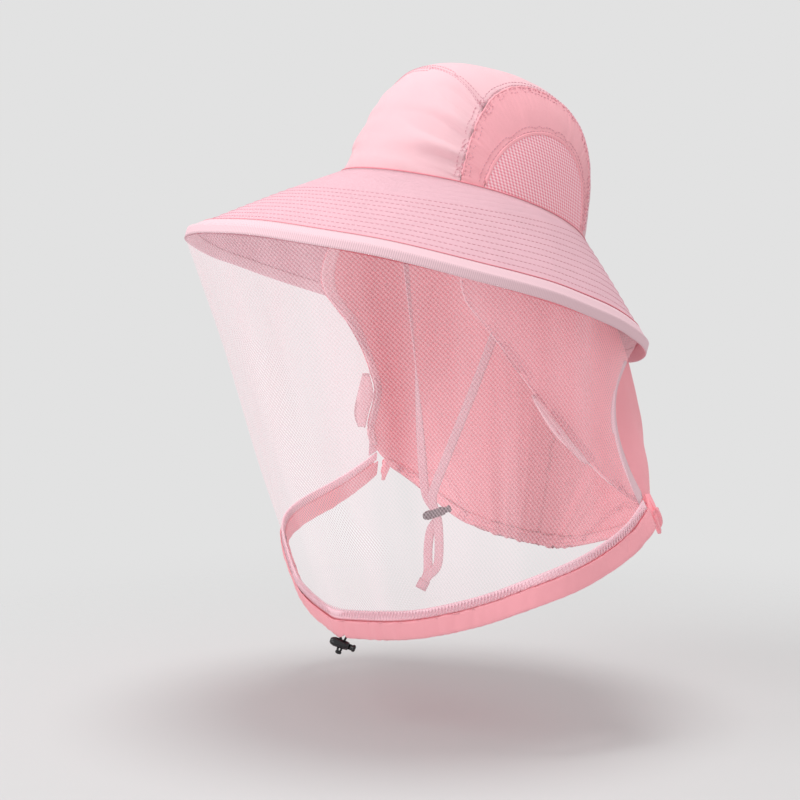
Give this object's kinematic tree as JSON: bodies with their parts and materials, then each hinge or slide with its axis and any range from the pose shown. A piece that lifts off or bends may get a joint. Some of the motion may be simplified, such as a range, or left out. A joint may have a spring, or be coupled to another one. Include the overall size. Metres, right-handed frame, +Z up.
{
  "type": "beekeeping veil",
  "caption": "Soft beekeeping veil: wide-brimmed sun hat with a net over the face, a neck flap, a chin ribbon and a drawcord hem, each with a toggle.",
  "frame": {"origin": "centre of the head opening at the foot of the crown, where a head holds the hat up", "axes": "+X to the wearer's left, +Y to the back of the head, +Z up; the hat is worn tipped back by 21 degrees"},
  "size_m": [0.337, 0.3348, 0.4151],
  "materials": {
    "pale_cloth": "plain weave, pale pink",
    "pink_cloth": "plain weave, pink",
    "knit_mesh": "open knit",
    "brim_cloth": "plain weave, stitched in rows",
    "interlining": "stiff interlining",
    "net_binding": "fine net, folded",
    "band_cloth": "soft band",
    "net": "fine open net",
    "overlock": "overlocked edge",
    "snap_plastic": "smooth",
    "ribbon": "flat woven ribbon",
    "black_plastic": "smooth",
    "spring_steel": "bright",
    "cord": "round cord"
  },
  "bodies": {
    "chin_toggle": {"chin_toggle_body": "black_plastic", "chin_toggle_spring": "spring_steel"},
    "chin_toggle_button": {"chin_toggle_button": "black_plastic"},
    "hem_toggle": {"hem_toggle_body": "black_plastic", "hem_toggle_spring": "spring_steel"},
    "hem_toggle_button": {"hem_toggle_button": "black_plastic"},
    "hat": {"front_crown_panel": "pale_cloth", "top_crown_panel": "pale_cloth", "left_side_panel": "pink_cloth", "right_side_panel": "pink_cloth", "left_vent_mesh": "knit_mesh", "right_vent_mesh": "knit_mesh", "upper_brim_cover": "brim_cloth", "lower_brim_cover": "brim_cloth", "brim_interlining": "interlining", "brim_edge_binding": "net_binding", "sweatband": "band_cloth", "veil_net": "net", "veil_side_binding_left": "net_binding", "veil_side_binding_right": "net_binding", "hem_seam_strip": "overlock", "hem_casing": "pink_cloth", "neck_flap": "pink_cloth", "flap_hem_tape": "pink_cloth", "flap_front_tape_left": "pink_cloth", "flap_front_tape_right": "pink_cloth", "ear_tab_left": "pale_cloth", "ear_tab_right": "pale_cloth", "ear_tab_snap_left": "snap_plastic", "ear_tab_snap_right": "snap_plastic", "corner_gather_left": "pink_cloth", "corner_gather_right": "pink_cloth", "chin_ribbon_left": "ribbon", "chin_ribbon_right": "ribbon", "chin_ribbon_end": "ribbon", "chin_anchor_left": "ribbon", "chin_anchor_right": "ribbon", "drawcord_left": "cord", "drawcord_right": "cord", "drawcord_knot": "cord"}
  },
  "joints": [
    {"name": "chin_toggle_slide", "type": "slide", "parent": "hat", "child": "chin_toggle", "axis": [-0.1125, -0.1332, -0.9847], "range_m": [-0.06, 0.042], "deforming": ["chin_ribbon_left", "chin_ribbon_right"]},
    {"name": "chin_toggle_press", "type": "slide", "parent": "chin_toggle", "child": "chin_toggle_button", "axis": [-0.6113, -0.7286, -0.309], "range_m": [0, 0.0025], "stiffness_N_per_m": 300, "springref_m": -0.0005, "deforming": ["chin_toggle_spring"]},
    {"name": "hem_toggle_slide", "type": "slide", "parent": "hat", "child": "hem_toggle", "axis": [-0.2198, -0.262, -0.9397], "range_m": [0, 0.0016]},
    {"name": "hem_toggle_press", "type": "slide", "parent": "hem_toggle", "child": "hem_toggle_button", "axis": [-0.604, -0.7198, 0.342], "range_m": [0, 0.0025], "stiffness_N_per_m": 300, "springref_m": -0.0005, "deforming": ["hem_toggle_spring"]}
  ]
}
